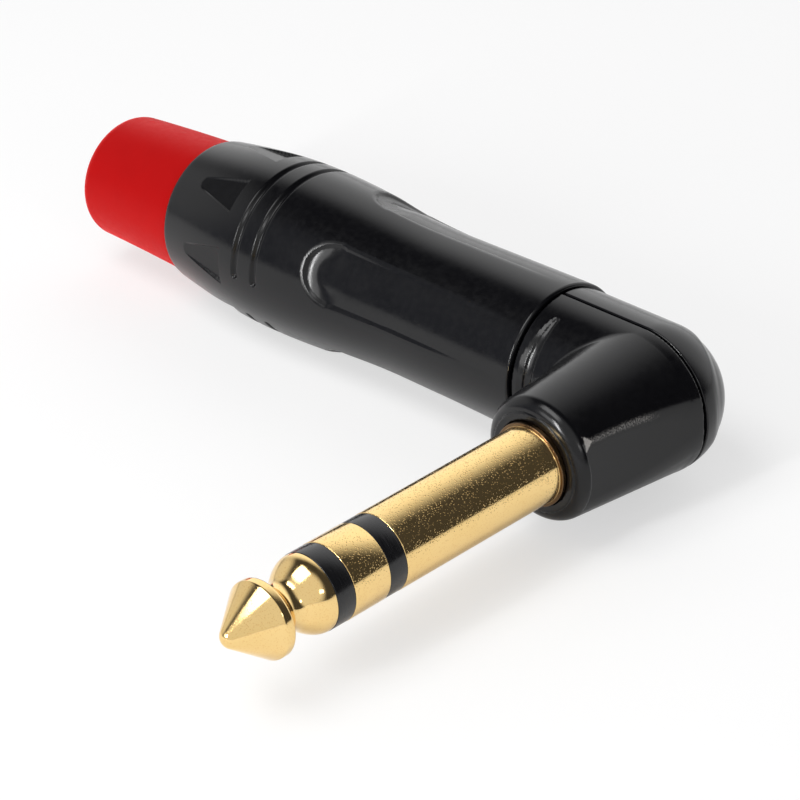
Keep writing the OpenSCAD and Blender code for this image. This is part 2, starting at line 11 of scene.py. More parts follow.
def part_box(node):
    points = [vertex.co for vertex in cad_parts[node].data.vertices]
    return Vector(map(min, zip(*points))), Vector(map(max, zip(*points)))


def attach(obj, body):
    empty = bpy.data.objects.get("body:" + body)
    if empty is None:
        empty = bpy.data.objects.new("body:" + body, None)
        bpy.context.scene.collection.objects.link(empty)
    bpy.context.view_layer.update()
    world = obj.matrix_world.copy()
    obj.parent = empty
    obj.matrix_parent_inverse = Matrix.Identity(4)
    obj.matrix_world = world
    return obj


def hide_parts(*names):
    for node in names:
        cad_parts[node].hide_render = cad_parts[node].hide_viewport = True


# Looks of a right-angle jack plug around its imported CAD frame. Lengths are in millimetres
# until a mesh is made. The finger points along -Y, the barrel along -X, and +Z is up.
# Along the body, s is the distance from the finger's axis towards the boot, and an angle
# round the body starts at the finger's side and turns towards the top.
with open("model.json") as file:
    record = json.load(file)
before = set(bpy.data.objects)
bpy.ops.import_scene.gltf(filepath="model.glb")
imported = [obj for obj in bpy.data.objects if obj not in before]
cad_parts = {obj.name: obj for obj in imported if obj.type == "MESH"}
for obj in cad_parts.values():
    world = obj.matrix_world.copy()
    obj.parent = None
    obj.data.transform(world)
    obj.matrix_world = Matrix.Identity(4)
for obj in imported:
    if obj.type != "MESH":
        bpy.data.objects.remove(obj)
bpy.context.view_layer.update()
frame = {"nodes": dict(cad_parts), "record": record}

MM = 0.001


def node_low(name, axis):
    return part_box(name)[0][axis] / MM


def node_high(name, axis):
    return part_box(name)[1][axis] / MM


# ---------- sizes ----------

# Finger: outside, then the tubes (outer and inner radius) and the rod that run back through it
FINGER_R = node_high("plug_ring", 0)
BAND_R = node_high("tip_insulator", 0)
FINGER_LEN = -node_low("plug_tip", 1)
SLEEVE_END = -node_low("plug_sleeve", 1)
RING_START = -node_low("ring_insulator", 1)
RING_END = -node_low("plug_ring", 1)
TIP_START = -node_low("tip_insulator", 1)
TIP_LEN = FINGER_LEN - TIP_START
SHOULDER_TRIM = 0.3
SHOULDER_R = node_high("plug_sleeve", 0) - SHOULDER_TRIM
SHOULDER_LEN = 1.6
SHANK_LEN = node_high("plug_sleeve", 1)
SHANK_R = 2.95
SLEEVE_IN = 2.47
BAND_TUBE = (2.45, 2.0)
RING_TUBE = (1.98, 1.53)
TIP_TUBE = (1.5, 1.02)
ROD_R = 1.0
RIVET_R = 1.35
RIVET_LEN = 0.3
TUBE_END = node_high("plug_ring", 1)
ROD_END = node_high("plug_tip", 1)

# Tip: its radii, then places on it as shares of its length, from the point backwards
POINT_R = 0.95
RIM_R = 3.125
RIM_ROUND = 0.3
WAIST_R = 1.9
WAIST_ROUND = 1.2
WAIST_FLANK = 35.0
FOOT_R = FINGER_R - 0.05
RIM_FRONT = 0.43
RIM_BACK = 0.48
WAIST_AT = 0.67
BALL_FRONT = 0.75
BALL_BACK = 0.985

# Elbow's turret, nose, collar and hollow
REACH = (node_low("barrel", 1) + node_high("barrel", 1)) / 2
ELBOW_R = node_high("elbow_shell", 0)
HOLLOW_R = 5.0
COLLAR_LEN = 8.6
NOSE_FACE = node_low("elbow_shell", 1)
NOSE_R = 5.15
NOSE_ROUND = 1.0
CONE_SLOPE = (ELBOW_R - NOSE_R) / (REACH - NOSE_FACE - NOSE_ROUND)
FACE_STEP_R = 4.15
FACE_STEP = 0.12
FACE_STEP_ROUND = 0.09
CAVITY_R = 4.006
CAVITY_AT = 3.8
CLEARANCE = 0.02
SEAM_GAP = 0.1
SEAM_ROUND = 0.12
CREASE = 0.16

# Thumb panel on the elbow's end
PANEL_FRONT = 1.55
PANEL_DEPTH = 0.8
PANEL_CURVE = 90.0
PANEL_PAST_SEAM = 0.5
PANEL_EDGE = 0.3

# Groove in the collar: from and to, the angle where it ends, and where it starts to narrow
COLLAR_GROOVE = (6.55, 8.05)
COLLAR_GROOVE_TURN = 67.0
COLLAR_GROOVE_FULL = 30.0

# Spigot and its thread, whose groove is a share of the pitch
NECK_AT = 7.0
NECK_R = 4.95
SPIGOT_R = 5.5
SPIGOT_IN = 4.35
SPIGOT_END = -node_low("elbow_shell", 0)
SPIGOT_ROOT = COLLAR_LEN - 0.3
SPIGOT_SLOT_AT = 11.3
SPIGOT_SLOT_HALF = 0.9
CABLE_WAY_AT = 5.0
PITCH = 1.0
THREAD_DEPTH = 0.4
THREAD_GROOVE = 0.4

# Cap's panel, and the lip that holds the cap in the elbow
CAP_PANEL_WIDTH = 8.8
CAP_PANEL_END = 6.0
CAP_PANEL_DEPTH = 0.16
LIP_LEN = 1.1
LIP_WALL = 0.5
LIP_GAP = 0.05
LIP_END = 6.8
LEDGE_WIDTH = 0.2
LEDGE_LEN = 0.8

# Grids on which elbow and cap are meshed
CARVE_STEP = 0.13
ELBOW_GRID = ((-16.4, 0.1, -6.7), (6.7, 19.1, 6.7))
COVER_GRID = ((-9.0, 11.8, -6.7), (6.7, 19.9, 6.7))

# Barrel's skin
BARREL_FRONT = -node_high("barrel", 0)
BARREL_END = -node_low("barrel", 0)
BARREL_R = 6.48
BELLY_R = node_high("barrel", 2)
TAIL_R = 6.15
BELLY_AT = BARREL_END - 10.9
FLARE_AT = BARREL_FRONT + 13.0
EDGE = 0.25
BARREL_COLUMNS = 520
BARREL_SHARP = 50

# Grips, with places along them measured back from their round ends
GRIP_END = BELLY_AT - 6.1
GRIP_LEN = 22.0
GRIP_HALF = 2.63
GRIP_WIDENING = 0.15
GRIP_WIDENS_AT = 11.8
GRIP_WIDENS_OVER = 8.6
GRIP_CENTRE = 2.78
GRIP_CORNER = 0.09
GRIP_CORNER_AT = 3.1
GRIP_CORNER_LEN = 0.4
GRIP_TURN = 28.0
GRIP_COUNT = 4

# Arrow notches in the tail, and the two ring grooves
NOTCH_AT = BELLY_AT + 3.1
NOTCH_LEN = 6.0
NOTCH_HALF = 1.7
NOTCH_TIP = 0.2
NOTCH_DEPTH = 0.5
NOTCH_WALL = 0.14
NOTCH_TURN = 2.0
NOTCH_COUNT = 7
GROOVE_STEP = 2.25
GROOVE_HALF = 0.4
GROOVE_WALL = 0.34
GROOVE_DEPTH = 0.3
GROOVE_ARC = 149.0
GROOVE_TURN = 72.5

# Barrel's bores, with depths from its tail
STEM_R = 5.1
TAIL_BORE_R = STEM_R + 0.1
TAIL_BORE_LEN = 3.9
BEAD_GROOVE = (2.5, 3.7)
BEAD_GROOVE_DEPTH = 0.3
TAPER_R = 4.3
TAPER_AT = 4.6
BORE_R = 5.31
BORE_AT = 14.6
THREAD_BORE_R = 5.56
THREAD_ROOM = 0.4
CHAMFER = 0.1
MOUTH_CHAMFER = 0.2

# Boot
STEM_AT = -node_high("boot", 0)
BOOT_END = -node_low("boot", 0)
BOOT_AT = BARREL_END + 0.1
BOOT_FRONT_R = node_high("boot", 2)
BOOT_BACK_R = 5.35
BOOT_EDGE = 0.12
BOOT_ROUND = 1.2
BOOT_DROOP = 0.3
BEAD_AT = STEM_AT + 1.2
BEAD_LEN = 1.0
BEAD_R = STEM_R + 0.25
CABLE_R = 3.5

# Floor: how much of it is plain white to the camera, and to glossy and clear surfaces
FLOOR_Z = min(node_low(name, 2) for name in frame["nodes"])
FLOOR_HALF = 1500.0
FLOOR_SEEN = 0.57
FLOOR_MIRRORED = 0.15

# The photograph's camera, from a fit to the outlines, and the place that the lamps look at
CAMERA_TURN = -43.5026
CAMERA_RISE = 30.1515
CAMERA_ROLL = -3.1674
CAMERA_AIM = (-8.464, -4.956, 4.696)
CAMERA_DISTANCE = 300.623
CAMERA_LENS = 180
CAMERA_SENSOR = 36
LAMP_AIM = (-20.0, 0.0, 0.0)


# ---------- mesh making ----------

def smooth(low, high, value):
    """0 below low, 1 above high, and a smooth rise between them."""
    t = np.clip((value - low) / (high - low), 0, 1)
    return t * t * (3 - 2 * t)


def make_mesh(name, points, faces, normals=None, painted_glint=None):
    """A mesh object from points in millimetres and rows of equal-sided faces."""
    faces = np.asarray(faces, np.int32)
    sides = faces.shape[1]
    mesh = bpy.data.meshes.new(name)
    mesh.vertices.add(len(points))
    mesh.vertices.foreach_set("co", (np.asarray(points) * MM).astype(np.float32).ravel())
    mesh.loops.add(faces.size)
    mesh.loops.foreach_set("vertex_index", faces.ravel())
    mesh.polygons.add(len(faces))
    mesh.polygons.foreach_set("loop_start", np.arange(0, faces.size, sides, dtype=np.int32))
    mesh.polygons.foreach_set("use_smooth", np.ones(len(faces), bool))
    mesh.update(calc_edges=True)
    mesh.validate()
    if normals is not None:
        mesh.normals_split_custom_set_from_vertices([tuple(n) for n in normals])
    if painted_glint is not None:
        # Per-point strength of a painted highlight, which the black material reads
        layer = mesh.attributes.new("painted_glint", "FLOAT", "POINT")
        layer.data.foreach_set("value", np.asarray(painted_glint, np.float32).ravel())
    piece = bpy.data.objects.new(name, mesh)
    bpy.context.scene.collection.objects.link(piece)
    return piece


def grid_faces(rows, columns, closed_rows=True):
    """Faces of a grid whose columns close into a ring, and whose rows may close too."""
    last = rows if closed_rows else rows - 1
    row = np.arange(last)[:, None]
    column = np.arange(columns)[None, :]
    next_row = (row + 1) % rows
    next_column = (column + 1) % columns
    corners = (
        row * columns + column, row * columns + next_column,
        next_row * columns + next_column, next_row * columns + column,
    )
    return np.stack(corners, axis=-1).reshape(-1, 4)


def tidy_mesh(piece, sharp):
    """Merges points on the axis, turns faces outwards and marks edges over sharp degrees."""
    work = bmesh.new()
    work.from_mesh(piece.data)
    bmesh.ops.remove_doubles(work, verts=work.verts, dist=1e-4 * MM)
    bmesh.ops.dissolve_degenerate(work, edges=work.edges, dist=1e-5 * MM)
    bmesh.ops.recalc_face_normals(work, faces=work.faces)
    work.to_mesh(piece.data)
    work.free()
    piece.data.set_sharp_from_angle(angle=math.radians(sharp))
    return piece


def on_finger(radius, height, turn):
    """Points at a radius and a height along the finger, turned from +X towards +Z."""
    return np.stack([radius * np.cos(turn), -height + 0 * turn, radius * np.sin(turn)], axis=-1)


def on_body(radius, s, turn):
    """Points at a radius and a distance along the body, turned from -Y towards +Z."""
    return np.stack([-s + 0 * turn, REACH - radius * np.cos(turn), radius * np.sin(turn)], axis=-1)


def lathe(name, outline, place, segments=240, shift=None):
    """A turned piece from an outline of (radius, height) pairs, placed round an axis."""
    outline = np.array(outline, float)
    turn = np.linspace(0, 2 * math.pi, segments, endpoint=False)[None, :]
    points = place(outline[:, 0][:, None], outline[:, 1][:, None], turn).reshape(-1, 3)
    if shift is not None:
        points = shift(points)
    on_axis = outline[0, 0] == 0 and outline[-1, 0] == 0
    faces = grid_faces(len(outline), segments, closed_rows=not on_axis)
    return tidy_mesh(make_mesh(name, points, faces), 40)


def arc(centre, radius, start, end, steps):
    """Points of an arc, with its angles in degrees from the radius axis."""
    angles = np.radians(np.linspace(start, end, steps))
    return [(centre[0] + radius * math.cos(a), centre[1] + radius * math.sin(a)) for a in angles]


def rounded(corners, steps=5):
    """An outline from (radius, height, size) corners, each rounded by an arc of its size."""
    outline = []
    for i, (r, h, size) in enumerate(corners):
        if size == 0:
            outline.append((r, h))
            continue
        here = np.array((r, h))
        before = np.array(corners[i - 1][:2]) - here
        after = np.array(corners[(i + 1) % len(corners)][:2]) - here
        before /= np.linalg.norm(before)
        after /= np.linalg.norm(after)
        half = math.acos(float(np.clip(before @ after, -1, 1))) / 2
        reach = size / math.tan(half)
        first = here + before * reach
        last = here + after * reach
        middle = (before + after) / np.linalg.norm(before + after)
        centre = here + middle * size / math.sin(half)
        for k in range(steps):
            t = k / (steps - 1)
            arm = (first - centre) * (1 - t) + (last - centre) * t
            outline.append(tuple(centre + arm / np.linalg.norm(arm) * size))
    return outline


def stretch(start, end, spacing):
    """Even steps from start up to, but not including, end."""
    return list(np.linspace(start, end, max(2, math.ceil((end - start) / spacing) + 1))[:-1])


# ---------- signed fields for the elbow and its cover ----------

def cut(a, b, size=0.0):
    """Where both fields hold, with the edge between them rounded."""
    if np.isscalar(size) and size == 0:
        return np.maximum(a, b)
    over = np.hypot(np.maximum(a + size, 0), np.maximum(b + size, 0))
    return np.minimum(-size, np.maximum(a, b)) + over


def join(a, b, size=0.0):
    """Where either field holds, with a fillet between them."""
    if np.isscalar(size) and size == 0:
        return np.minimum(a, b)
    under = np.hypot(np.maximum(size - a, 0), np.maximum(size - b, 0))
    return np.maximum(size, np.minimum(a, b)) - under


def ring(radius, outer, inner, along, start, end):
    """A tube between two radii and two places along its axis."""
    wall = cut(radius - outer, inner - radius)
    return cut(wall, np.abs(along - (start + end) / 2) - (end - start) / 2)


def rod_distance(x, y, z):
    """Distance from the body axis, which ends in a half-ball at the finger's axis."""
    return np.sqrt(np.maximum(x, 0) ** 2 + (y - REACH) ** 2 + z ** 2)


def cone_gap(radius, y):
    """Distance out from the turret's cone, measured square to the finger."""
    return radius - NOSE_R - CONE_SLOPE * (y - NOSE_FACE - NOSE_ROUND)


def thumb_panel(x, y):
    """The hollow cut into the elbow's end, from behind the nose's rim to past the seam."""
    span = REACH + PANEL_PAST_SEAM - PANEL_FRONT
    front_x = NOSE_R - PANEL_DEPTH
    tilt = math.atan2(ELBOW_R - front_x, span)
    chord = span / math.cos(tilt)
    rise = math.sqrt(PANEL_CURVE ** 2 - (chord / 2) ** 2)
    centre_x = front_x + rise * math.cos(tilt) + chord / 2 * math.sin(tilt)
    centre_y = PANEL_FRONT - rise * math.sin(tilt) + chord / 2 * math.cos(tilt)
    hollow = np.hypot(x - centre_x, y - centre_y) - PANEL_CURVE
    return cut(hollow, PANEL_FRONT - y)


def thread_surface(radius, s, turn):
    """The spigot's skin with a right-hand thread, which fades out at both ends."""
    phase = np.abs((s / PITCH - turn / (2 * math.pi)) % 1 - 0.5) / (THREAD_GROOVE * PITCH)
    fade = smooth(COLLAR_LEN + 0.2, COLLAR_LEN + 0.7, s)
    fade = fade * smooth(SPIGOT_END - 0.2, SPIGOT_END - 0.7, s)
    gap = radius - SPIGOT_R + THREAD_DEPTH * fade * (1 - smooth(0.1, 1.0, phase))
    # The flanks are steep, so the gap is scaled down towards a true distance
    return gap * 0.8


def stepped(inside, rim, wall, cove):
    """Depth inside an outline: a gentle rim, a steep wall and a cove that levels out.

    Each is a (width, slope) pair.
    """
    depth = rim[1] * np.clip(inside, 0, rim[0])
    depth = depth + wall[1] * np.clip(inside - rim[0], 0, wall[0])
    past = np.clip(inside - rim[0] - wall[0], 0, cove[0])
    return depth + cove[1] * (past - past ** 2 / (2 * cove[0]))


def collar_groove(s, turn):
    """Depth of the collar's groove: a soft side, a steep side, and narrower towards its ends."""
    degrees = np.abs(np.degrees(turn))
    narrow = (degrees - COLLAR_GROOVE_FULL) / (COLLAR_GROOVE_TURN - COLLAR_GROOVE_FULL)
    narrow = np.clip(narrow, 0, 1)
    width = (COLLAR_GROOVE[1] - COLLAR_GROOVE[0]) * (1 - 0.6 * narrow)
    across = (COLLAR_GROOVE[0] + width - s) / width
    soft_side = stepped(across, rim=(0.33, 0.33), wall=(0.07, 1.3), cove=(0.33, 0.6))
    steep_side = GROOVE_DEPTH * smooth(0, 0.23, 1 - across)
    end = np.radians(COLLAR_GROOVE_TURN - degrees) * ELBOW_R
    return np.minimum(soft_side, steep_side) * (1 - 0.55 * narrow) * smooth(0, 0.35, end)


def groove_shape(off, along, half_length):
    """1 on the floor of a round-ended groove with soft walls, and 0 outside it."""
    past = np.maximum(along - half_length + GROOVE_HALF, 0)
    return smooth(0, GROOVE_WALL, GROOVE_HALF - np.hypot(past, off))


def elbow_field(x, y, z):
    """The cast elbow: a turret for the finger, a collar, and a spigot that the barrel screws on."""
    s = -x
    round_finger = np.hypot(x, z)
    round_body = np.hypot(y - REACH, z)
    turn = np.arctan2(z, REACH - y)
    rod = rod_distance(x, y, z)
    # Turret: a cone from the nose's rounded rim up to the body
    cone = cone_gap(round_finger, y) * math.cos(math.atan(CONE_SLOPE))
    turret = cut(cut(cone, NOSE_FACE + FACE_STEP - y, NOSE_ROUND), y - REACH)
    # Fine turned step round the nose's face
    step = cut(round_finger - FACE_STEP_R, NOSE_FACE - y, FACE_STEP_ROUND)
    turret = join(turret, cut(step, y - 2))
    # Collar, with a fillet in the corner that it makes with the turret
    collar = cut(rod - ELBOW_R + collar_groove(s, turn), s - COLLAR_LEN, SEAM_ROUND)
    fillet = 0.002 + CREASE * smooth(REACH - 0.8, REACH - 3, y) * smooth(0, 1.5, s)
    shell = join(turret, collar, fillet)
    shell = cut(shell, -thumb_panel(x, y), PANEL_EDGE)
    # Hollow behind the nose and along the body
    hollow = join(cut(rod - HOLLOW_R, s - NECK_AT), cut(round_finger - CAVITY_R, CAVITY_AT - y))
    shell = cut(shell, -hollow)
    shell = cut(shell, y - REACH + SEAM_GAP, SEAM_ROUND)
    # Spigot, on a neck in the collar, with a slot through its end
    neck = ring(round_body, NECK_R, SPIGOT_IN, s, NECK_AT, COLLAR_LEN)
    spigot = cut(thread_surface(round_body, s, turn), SPIGOT_IN - round_body, 0.1)
    middle = (SPIGOT_ROOT + SPIGOT_END) / 2
    spigot = cut(spigot, np.abs(s - middle) - (SPIGOT_END - SPIGOT_ROOT) / 2, 0.15)
    slots = cut(np.abs(y - REACH) - SPIGOT_SLOT_HALF, SPIGOT_SLOT_AT - s)
    spigot = cut(spigot, -slots, 0.08)
    whole = join(join(shell, neck), spigot)
    # Room for the finger's shoulder and shank, and the way through for the cable's wires
    whole = cut(whole, -cut(round_finger - SHOULDER_R - CLEARANCE, y - SHOULDER_LEN), 0.05)
    whole = cut(whole, -cut(round_finger - SHANK_R - CLEARANCE, y - CAVITY_AT - 0.5))
    return cut(whole, -cut(cut(round_body - SPIGOT_IN, s - SPIGOT_END - 1), CABLE_WAY_AT - s))


def elbow_painted_glint(x, y, z):
    """Painted highlight in a bare-metal colour: a patch at the panel's front corner, and a band along
    its edge.
    """
    past = y - PANEL_FRONT
    top = 3.4 - 0.7 * past
    bottom = 1.75 + 1.2 * past
    spot = np.minimum(np.minimum(top - z, z - bottom), past)
    spot = smooth(0, 0.15, spot) * smooth(4.2, 4.4, np.hypot(x, z))
    skin = cone_gap(np.hypot(x, z), y)
    edge = smooth(0.3, 0.05, thumb_panel(x, y)) * smooth(-0.3, -0.1, skin) * smooth(0.5, 1.5, z)
    return np.maximum(1.6 * spot, 0.45 * edge * smooth(0, 0.6, past) * smooth(10.5, 7.0, y))


def round_ended(x, z, half):
    """A plan of some half width with one round end, open towards the barrel."""
    return np.where(x > 0, np.hypot(x, z), np.abs(z)) - half


def cover_field(x, y, z):
    """The cap on the elbow's back: a shell with a long panel, and a lip that reaches into the elbow."""
    s = -x
    rod = rod_distance(x, y, z)
    # The panel is a shallow step that follows the round form
    half = CAP_PANEL_WIDTH / 2
    plan = round_ended(x - CAP_PANEL_END + half, z, half)
    sunk = CAP_PANEL_DEPTH * smooth(0.25, -0.5, plan) * smooth(REACH + 1, REACH + 1.6, y)
    shell = cut(rod - ELBOW_R + sunk, s - COLLAR_LEN + LIP_GAP, SEAM_ROUND)
    shell = cut(shell, HOLLOW_R - rod)
    shell = cut(shell, REACH + SEAM_GAP - y, SEAM_ROUND)
    # The lip's band, and the ledge that carries it
    lip_r = math.sqrt(HOLLOW_R ** 2 - LIP_LEN ** 2) - LIP_GAP
    inside = -round_ended(x, z, lip_r - LIP_WALL)
    band = cut(round_ended(x, z, lip_r), inside, 0.06)
    band = cut(band, np.abs(y - REACH) - LIP_LEN)
    ledge = cut(round_ended(x, z, HOLLOW_R + LEDGE_WIDTH), inside)
    ledge = cut(ledge, np.abs(y - REACH - SEAM_GAP - LEDGE_LEN / 2) - LEDGE_LEN / 2)
    return join(shell, cut(join(band, ledge), s - LIP_END))


def field_normals(field, points, step=0.02):
    """Unit slopes of a field at some points, and how steep it is there."""
    x, y, z = points.T
    slopes = np.stack([
        field(x + step, y, z) - field(x - step, y, z),
        field(x, y + step, z) - field(x, y - step, z),
        field(x, y, z + step) - field(x, y, z - step),
    ], axis=-1) / (2 * step)
    size = np.maximum(np.linalg.norm(slopes, axis=1), 1e-6)
    return slopes / size[:, None], size


def carve(name, field, corners, painted_glint=None):
    """Meshes a field's surface on a fine grid, then pulls each point onto the surface."""
    low, high = corners
    step = CARVE_STEP
    axes = [np.arange(a, b + step, step) for a, b in zip(low, high)]
    x, y, z = np.meshgrid(*axes, indexing="ij", sparse=True)
    values = np.clip(field(x, y, z) + 0 * (x + y + z), -3 * step, 3 * step)
    grid = vdb.FloatGrid()
    grid.copyFromArray(values.astype(np.float32))
    points, _, quads = grid.convertToPolygons(isovalue=0.0, adaptivity=0.0)
    points = np.array(low) + np.asarray(points, float) * step
    for _ in range(3):
        normals, size = field_normals(field, points)
        gap = field(*points.T) / size
        points = points - normals * np.clip(gap, -step / 2, step / 2)[:, None]
    normals, size = field_normals(field, points)
    faces = np.asarray(quads, np.int32)
    a, b, c = (points[faces[:, i]] for i in (0, 1, 2))
    facing = np.einsum("ij,ij->i", np.cross(b - a, c - a), normals[faces[:, 0]])
    if facing.sum() < 0:
        faces = faces[:, ::-1].copy()
    return make_mesh(name, points, faces, normals, painted_glint and painted_glint(*points.T))


# ---------- barrel ----------

def skin_r(s):
    """Radius of the barrel's plain skin."""
    flare = (1 - np.cos(math.pi * np.clip((s - FLARE_AT) / (BELLY_AT - FLARE_AT), 0, 1))) / 2
    fall = 1 - np.cos(math.pi / 2 * np.clip((s - BELLY_AT) / (BARREL_END - BELLY_AT), 0, 1))
    return BARREL_R + (BELLY_R - BARREL_R) * flare - (BELLY_R - TAIL_R) * fall


def turn_from(turn, start, count):
    """Angle from the nearest of count places spread evenly from start, in radians."""
    step = 2 * math.pi / count
    return (turn - math.radians(start) + step / 2) % step - step / 2


def grip_inside(s, turn):
    """Distance inside the nearest grip's outline, which flares a little at its corners."""
    off = turn_from(turn, GRIP_TURN, GRIP_COUNT)
    across = skin_r(s) * np.sin(off)
    corner = GRIP_CORNER * np.exp(-((s - GRIP_END + GRIP_CORNER_AT) / GRIP_CORNER_LEN) ** 2)
    widening = GRIP_WIDENING * np.clip((s - GRIP_END + GRIP_WIDENS_AT) / GRIP_WIDENS_OVER, 0, 1)
    past = np.maximum(s - GRIP_END + GRIP_CENTRE, 0)
    return GRIP_HALF + widening + corner - np.hypot(past, across)


def grip_depth(s, turn):
    """Depth of the long grips, which fade towards the elbow and are flatter along their sides."""
    inside = grip_inside(s, turn)
    runout = np.clip((s - GRIP_END + GRIP_LEN) / GRIP_LEN, 0, 1)
    round_end = smooth(-5.0, -2.0, s - GRIP_END)
    cove = (1.1, 0.1 + 0.37 * round_end)
    return stepped(inside, rim=(0.22, 0.3), wall=(0.26, 0.9), cove=cove) * runout


def notch_depth(s, turn):
    """Depth of the arrow notches, whose flat floors run out towards the tail."""
    off = turn_from(turn, NOTCH_TURN, NOTCH_COUNT)
    across = np.abs(skin_r(s) * np.sin(off))
    half = NOTCH_HALF - (NOTCH_HALF - NOTCH_TIP) * (s - NOTCH_AT) / NOTCH_LEN
    inside = np.minimum(half - across, np.minimum(s - NOTCH_AT, NOTCH_AT + NOTCH_LEN - s))
    floor_r = skin_r(NOTCH_AT) - NOTCH_DEPTH
    deep = np.maximum(skin_r(s) - floor_r / np.cos(off), 0)
    return deep * smooth(0, NOTCH_WALL, inside)


def groove_depth(s, turn):
    """Depth of the two ring grooves, each in two arcs with round ends."""
    along = np.abs(turn_from(turn, GROOVE_TURN, 2)) * BELLY_R
    off = np.abs(np.abs(s - BELLY_AT) - GROOVE_STEP / 2)
    return GROOVE_DEPTH * groove_shape(off, along, math.radians(GROOVE_ARC / 2) * BELLY_R)


def barrel_r(s, turn):
    """Radius of the barrel's skin with all its hollows."""
    return skin_r(s) - grip_depth(s, turn) - notch_depth(s, turn) - groove_depth(s, turn)


def barrel_rows():
    """Places along the barrel, close together where the skin has detail."""
    rows = stretch(BARREL_FRONT + EDGE, GRIP_END - 3.6, 0.5)
    rows += stretch(GRIP_END - 3.6, GRIP_END + 0.2, 0.1)
    rows += stretch(GRIP_END + 0.2, BELLY_AT - 1.6, 0.4)
    for side in (-1, 1):
        middle = BELLY_AT + side * GROOVE_STEP / 2
        start = middle - 0.45
        end = middle + 0.45
        rows += stretch(start, end, 0.075)
        rows += stretch(end, end + 1.3, 0.25)
    rows += stretch(NOTCH_AT - 0.15, NOTCH_AT + 0.3, 0.06)
    rows += stretch(NOTCH_AT + 0.3, NOTCH_AT + NOTCH_LEN + 0.1, 0.1)
    rows += stretch(NOTCH_AT + NOTCH_LEN + 0.1, BARREL_END - EDGE + 0.01, 0.3)
    return np.unique(np.round(rows, 4))


def barrel_bores():
    """Outline of the inside, from the tail to the mouth: seat, bead groove, taper, bore and thread."""
    groove_back, groove_front = (BARREL_END - depth for depth in BEAD_GROOVE)
    groove_r = TAIL_BORE_R + BEAD_GROOVE_DEPTH
    tail_bore_end = BARREL_END - TAIL_BORE_LEN
    thread_end = SPIGOT_END + THREAD_ROOM
    return [
        (TAIL_BORE_R + CHAMFER, BARREL_END), (TAIL_BORE_R, BARREL_END - CHAMFER),
        (TAIL_BORE_R, groove_back), (groove_r, groove_back - CHAMFER),
        (groove_r, groove_front + CHAMFER), (TAIL_BORE_R, groove_front),
        (TAIL_BORE_R, tail_bore_end), (TAPER_R, tail_bore_end), (TAPER_R, BARREL_END - TAPER_AT),
        (BORE_R, BARREL_END - BORE_AT), (BORE_R, thread_end), (THREAD_BORE_R, thread_end),
        (THREAD_BORE_R, BARREL_FRONT + MOUTH_CHAMFER), (THREAD_BORE_R + MOUTH_CHAMFER, BARREL_FRONT),
    ]


def barrel():
    """The barrel: a skin with its hollows, rounded ends and bores, in one closed grid."""
    turn = np.linspace(0, 2 * math.pi, BARREL_COLUMNS, endpoint=False)[None, :]
    s = barrel_rows()[:, None]
    radius = barrel_r(s, turn)
    points = on_body(radius, s, turn)
    # The skin's normals come from its slopes along the barrel and round it
    step = 0.02
    along = (barrel_r(s + step, turn) - barrel_r(s - step, turn)) / (2 * step)
    round_step = step / BELLY_R
    across = barrel_r(s, turn + round_step) - barrel_r(s, turn - round_step)
    across = across / (2 * round_step * radius)
    outward = on_body(1, 0, turn) - on_body(0, 0, turn)
    sideways = on_body(1, 0, turn + math.pi / 2) - on_body(0, 0, turn)
    tailwards = np.array((-1, 0, 0))
    slopes = outward - sideways * across[..., None] - tailwards * along[..., None]
    slopes = slopes / np.linalg.norm(slopes, axis=-1, keepdims=True)
    # Rounded edges at both ends, then the bores, back to the front
    front = arc((BARREL_R - EDGE, BARREL_FRONT + EDGE), EDGE, -90, -12, 6)
    tail = arc((TAIL_R - EDGE, BARREL_END - EDGE), EDGE, 0, 90, 6)
    ends = []
    for r, at in tail + barrel_bores() + front:
        ends.append(on_body(r, at, turn)[0])
    every = np.concatenate([points.reshape(-1, 3), np.array(ends).reshape(-1, 3)])
    faces = grid_faces(len(every) // BARREL_COLUMNS, BARREL_COLUMNS)
    piece = tidy_mesh(make_mesh("barrel_skin", every, faces), BARREL_SHARP)
    normals = np.zeros((len(every), 3))
    normals[:slopes.size // 3] = slopes.reshape(-1, 3)
    piece.data.normals_split_custom_set_from_vertices([tuple(n) for n in normals])
    return piece


# ---------- turned pieces ----------

def plug_sleeve():
    """The finger's long sleeve contact, with its shoulder ring and shank."""
    outline = rounded([
        (FINGER_R, SLEEVE_END, 0.06), (FINGER_R, 0, 0.08), (SHOULDER_R, 0, 0.08),
        (SHOULDER_R, -SHOULDER_LEN, 0), (SHANK_R, -SHOULDER_LEN, 0), (SHANK_R, -SHANK_LEN, 0.1),
        (SLEEVE_IN, -SHANK_LEN, 0), (SLEEVE_IN, SLEEVE_END, 0),
    ])
    return lathe("sleeve_contact", outline, on_finger)


def flanged_tube(name, outer, start, end, tube, tube_end):
    """A contact or band on the finger, with the tube that runs back from it."""
    tube_out, tube_in = tube
    outline = rounded([
        (outer, end, 0.05), (outer, start, 0.05), (tube_out, start, 0),
        (tube_out, -tube_end, 0), (tube_in, -tube_end, 0), (tube_in, end, 0),
    ])
    return lathe(name, outline, on_finger)


def on_tip(share):
    """Height on the finger of a share of the tip's length, from the point backwards."""
    return FINGER_LEN - share * TIP_LEN


